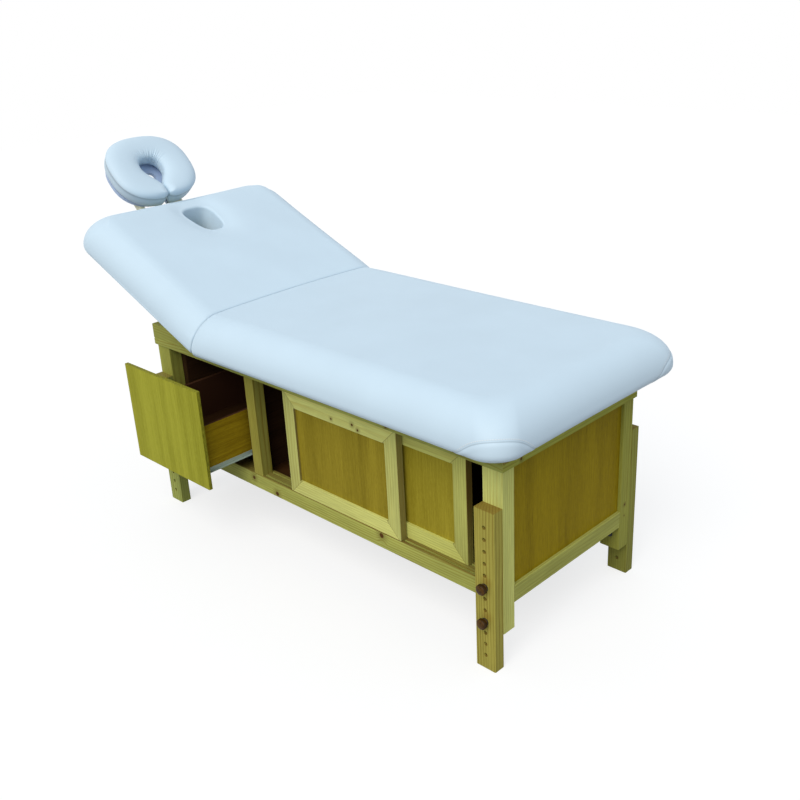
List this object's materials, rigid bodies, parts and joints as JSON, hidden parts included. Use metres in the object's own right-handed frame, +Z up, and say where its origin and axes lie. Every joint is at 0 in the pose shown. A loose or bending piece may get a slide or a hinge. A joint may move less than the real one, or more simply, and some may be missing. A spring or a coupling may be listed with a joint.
{
  "type": "spa bed with cabinet base",
  "caption": "Massage table on a panelled wooden cabinet with a drawer, sliding doors, height-adjustable legs, a raised head section with a face hole and a padded face cradle.",
  "frame": {"origin": "on the floor, below the middle of the whole table's box at rest, with the head section raised and the drawer half out", "axes": "+X towards the foot end, -Y towards the front with the drawer and doors, +Z up"},
  "size_m": [1.9836, 0.828, 1.1368],
  "materials": {
    "pine": "clear varnished pine",
    "plywood": "varnished plywood",
    "dark_plywood": "dark stained plywood",
    "brown_wood": "turned and varnished hardwood",
    "vinyl": "soft pale vinyl upholstery over foam",
    "black_steel": "black bolt",
    "zinc_steel": "zinc-plated steel",
    "white_slide": "white enamelled steel",
    "roller": "white nylon",
    "black_nylon": "black nylon"
  },
  "bodies": {
    "cabinet": {"post_front_head": "pine", "post_front_foot": "pine", "post_back_head": "pine", "post_back_foot": "pine", "leg_bolts": "black_steel", "rim_front": "pine", "rim_back": "pine", "rim_head": "pine", "rim_foot": "pine", "top_board": "plywood", "side_rail_front": "pine", "side_rail_back": "pine", "cross_rail_head": "pine", "cross_rails": "pine", "lower_rail_front": "pine", "lower_rail_back": "pine", "lower_rail_head": "pine", "lower_rail_foot": "pine", "stile_front": "pine", "back_panels": "plywood", "end_panels": "plywood", "drawer_bay_sides": "dark_plywood", "cabinet_floor": "dark_plywood", "floor_bearers": "pine", "slide_channels": "white_slide", "foot_board": "plywood", "foot_cushion": "vinyl", "ratchet_base_arms": "zinc_steel"},
    "head": {"head_board": "plywood", "head_cushion": "vinyl", "head_underframe": "pine", "ratchet_head_arms": "zinc_steel"},
    "cradle": {"cradle_rods": "zinc_steel", "cradle_base": "pine"},
    "cradle_rest": {"cradle_arms": "pine", "cradle_platform": "plywood", "face_cushion": "vinyl"},
    "cam_lever": {"cradle_cam_lever": "black_nylon"},
    "drawer": {"drawer_front": "plywood", "drawer_box": "dark_plywood", "drawer_bottom": "dark_plywood", "drawer_runners": "white_slide"},
    "front_rollers": {"front_rollers": "roller"},
    "rear_rollers": {"rear_rollers": "roller"},
    "door_front": {"door_front_frame": "pine", "door_front_panel": "plywood"},
    "door_rear": {"door_rear_frame": "pine", "door_rear_panel": "plywood"},
    "leg_front_head": {"leg_front_head": "pine"},
    "leg_front_foot": {"leg_front_foot": "pine"},
    "leg_back_head": {"leg_back_head": "pine"},
    "leg_back_foot": {"leg_back_foot": "pine"},
    "knob_front_head_upper": {"knob_front_head_upper": "brown_wood"},
    "knob_front_head_lower": {"knob_front_head_lower": "brown_wood"},
    "knob_front_foot_upper": {"knob_front_foot_upper": "brown_wood"},
    "knob_front_foot_lower": {"knob_front_foot_lower": "brown_wood"},
    "knob_back_head_upper": {"knob_back_head_upper": "brown_wood"},
    "knob_back_head_lower": {"knob_back_head_lower": "brown_wood"},
    "knob_back_foot_upper": {"knob_back_foot_upper": "brown_wood"},
    "knob_back_foot_lower": {"knob_back_foot_lower": "brown_wood"}
  },
  "joints": [
    {"name": "backrest_tilt", "type": "hinge", "parent": "cabinet", "child": "head", "pos_m": [-0.16222, 0.029, 0.654], "axis": [0, 1, 0], "range_deg": [-23, 17]},
    {"name": "cradle_slide", "type": "slide", "parent": "head", "child": "cradle", "axis": [-0.9205, 0, 0.3907], "range_m": [0, 0.1]},
    {"name": "cradle_tilt", "type": "hinge", "parent": "cradle", "child": "cradle_rest", "pos_m": [-0.82671, 0.029, 0.90054], "axis": [0, 1, 0], "range_deg": [-30, 20]},
    {"name": "cam_lever_turn", "type": "hinge", "parent": "cradle", "child": "cam_lever", "pos_m": [-0.82671, -0.069, 0.90054], "axis": [0.3907, 0, 0.9205], "range_deg": [0, 90]},
    {"name": "drawer_slide", "type": "slide", "parent": "cabinet", "child": "drawer", "axis": [0, -1, 0], "range_m": [-0.165, 0.2]},
    {"name": "front_rollers_spin", "type": "hinge", "parent": "cabinet", "child": "front_rollers", "pos_m": [0, -0.1953, 0.2704], "axis": [1, 0, 0], "range_deg": [-1190, 1440]},
    {"name": "rear_rollers_spin", "type": "hinge", "parent": "drawer", "child": "rear_rollers", "pos_m": [0, 0.0386, 0.2704], "axis": [1, 0, 0], "range_deg": [-1190, 1440]},
    {"name": "door_front_slide", "type": "slide", "parent": "cabinet", "child": "door_front", "axis": [1, 0, 0], "range_m": [-0.1385, 0.2855]},
    {"name": "door_rear_slide", "type": "slide", "parent": "cabinet", "child": "door_rear", "axis": [1, 0, 0], "range_m": [-0.3525, 0.0715]},
    {"name": "leg_front_head_height", "type": "slide", "parent": "cabinet", "child": "leg_front_head", "axis": [0, 0, 1], "range_m": [-0.134, 0.067]},
    {"name": "leg_front_foot_height", "type": "slide", "parent": "cabinet", "child": "leg_front_foot", "axis": [0, 0, 1], "range_m": [-0.134, 0.067]},
    {"name": "leg_back_head_height", "type": "slide", "parent": "cabinet", "child": "leg_back_head", "axis": [0, 0, 1], "range_m": [-0.134, 0.067]},
    {"name": "leg_back_foot_height", "type": "slide", "parent": "cabinet", "child": "leg_back_foot", "axis": [0, 0, 1], "range_m": [-0.134, 0.067]},
    {"name": "knob_front_head_upper_turn", "type": "hinge", "parent": "cabinet", "child": "knob_front_head_upper", "pos_m": [-0.49322, -0.283, 0.242], "axis": [0, -1, 0], "continuous": true},
    {"name": "knob_front_head_lower_turn", "type": "hinge", "parent": "cabinet", "child": "knob_front_head_lower", "pos_m": [-0.49322, -0.283, 0.1415], "axis": [0, -1, 0], "continuous": true},
    {"name": "knob_front_foot_upper_turn", "type": "hinge", "parent": "cabinet", "child": "knob_front_foot_upper", "pos_m": [0.88078, -0.283, 0.242], "axis": [0, -1, 0], "continuous": true},
    {"name": "knob_front_foot_lower_turn", "type": "hinge", "parent": "cabinet", "child": "knob_front_foot_lower", "pos_m": [0.88078, -0.283, 0.1415], "axis": [0, -1, 0], "continuous": true},
    {"name": "knob_back_head_upper_turn", "type": "hinge", "parent": "cabinet", "child": "knob_back_head_upper", "pos_m": [-0.49322, 0.341, 0.242], "axis": [0, 1, 0], "continuous": true},
    {"name": "knob_back_head_lower_turn", "type": "hinge", "parent": "cabinet", "child": "knob_back_head_lower", "pos_m": [-0.49322, 0.341, 0.1415], "axis": [0, 1, 0], "continuous": true},
    {"name": "knob_back_foot_upper_turn", "type": "hinge", "parent": "cabinet", "child": "knob_back_foot_upper", "pos_m": [0.88078, 0.341, 0.242], "axis": [0, 1, 0], "continuous": true},
    {"name": "knob_back_foot_lower_turn", "type": "hinge", "parent": "cabinet", "child": "knob_back_foot_lower", "pos_m": [0.88078, 0.341, 0.1415], "axis": [0, 1, 0], "continuous": true}
  ],
  "couplings": [
    {"joint": "front_rollers_spin", "follows": "drawer_slide", "rad_per_m": 125},
    {"joint": "rear_rollers_spin", "follows": "drawer_slide", "rad_per_m": 125}
  ]
}
